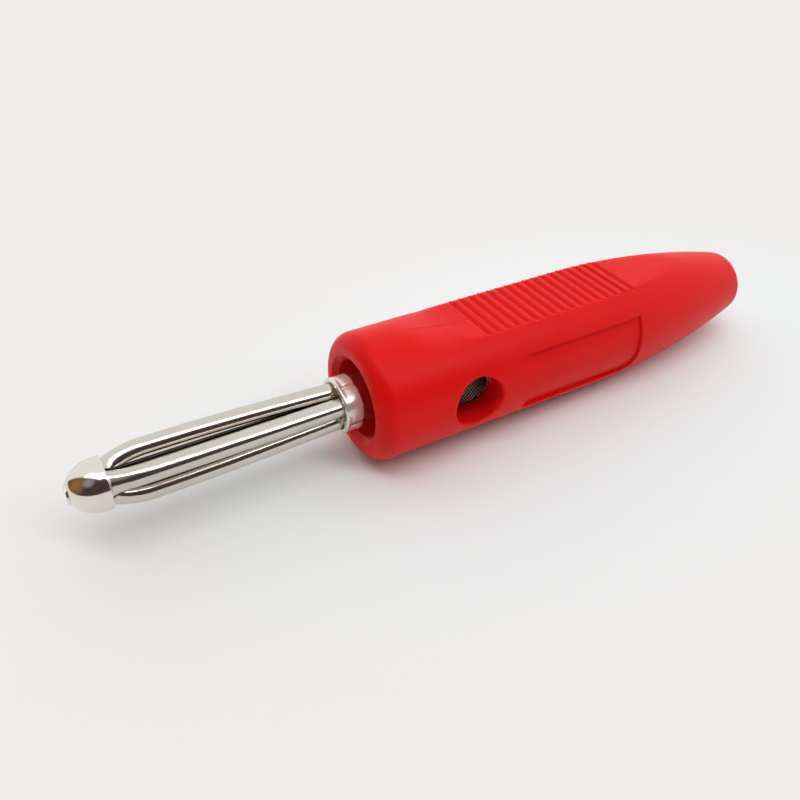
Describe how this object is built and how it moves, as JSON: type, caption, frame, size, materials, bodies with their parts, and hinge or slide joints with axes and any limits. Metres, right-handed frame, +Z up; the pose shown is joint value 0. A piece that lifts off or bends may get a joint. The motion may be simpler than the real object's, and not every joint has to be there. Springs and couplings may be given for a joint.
{
  "type": "banana plug",
  "caption": "Spring-leaf banana plug with a red moulded handle, ribbed grip flats, a cross hole for side stacking and a clamp screw for the wire.",
  "frame": {"origin": "middle of the plug's length and width, at the lowest line of the barrel", "axes": "+X along the plug's axis from the nose to the cable end, +Y through the cross hole, +Z up through the grip flats"},
  "size_m": [0.0636, 0.0108, 0.0107],
  "materials": {
    "red_plastic": "satin moulded red plastic",
    "plated_metal": "bright nickel plate over turned brass",
    "plated_spring": "bright nickel plate over spring brass strip",
    "screw_steel": "zinc plated steel"
  },
  "bodies": {
    "contact": {"contact_body": "plated_metal", "core_rod": "plated_metal", "nose_cap": "plated_metal"},
    "cover": {"handle": "red_plastic"},
    "leaf_1": {"spring_leaf_1": "plated_spring"},
    "leaf_2": {"spring_leaf_2": "plated_spring"},
    "leaf_3": {"spring_leaf_3": "plated_spring"},
    "leaf_4": {"spring_leaf_4": "plated_spring"},
    "screw": {"clamp_screw": "screw_steel"}
  },
  "joints": [
    {"name": "cover_slide", "type": "slide", "parent": "contact", "child": "cover", "axis": [1, 0, 0], "range_m": [0, 0.026]},
    {"name": "leaf_1_flex", "type": "hinge", "parent": "contact", "child": "leaf_1", "pos_m": [-0.00995, 0.00091, 0.00699], "axis": [0, -0.8746, 0.4848], "range_deg": [0, 1.2], "stiffness_Nm_per_rad": 1.5},
    {"name": "leaf_2_flex", "type": "hinge", "parent": "contact", "child": "leaf_2", "pos_m": [-0.00995, -0.00164, 0.00626], "axis": [0, -0.4848, -0.8746], "range_deg": [0, 1.2], "stiffness_Nm_per_rad": 1.5},
    {"name": "leaf_3_flex", "type": "hinge", "parent": "contact", "child": "leaf_3", "pos_m": [-0.00995, -0.00091, 0.00371], "axis": [0, 0.8746, -0.4848], "range_deg": [0, 1.2], "stiffness_Nm_per_rad": 1.5},
    {"name": "leaf_4_flex", "type": "hinge", "parent": "contact", "child": "leaf_4", "pos_m": [-0.00995, 0.00164, 0.00444], "axis": [0, 0.4848, 0.8746], "range_deg": [0, 1.2], "stiffness_Nm_per_rad": 1.5},
    {"name": "clamp_screw_travel", "type": "slide", "parent": "contact", "child": "screw", "axis": [0, 0, -1], "range_m": [0, 0.002]}
  ]
}
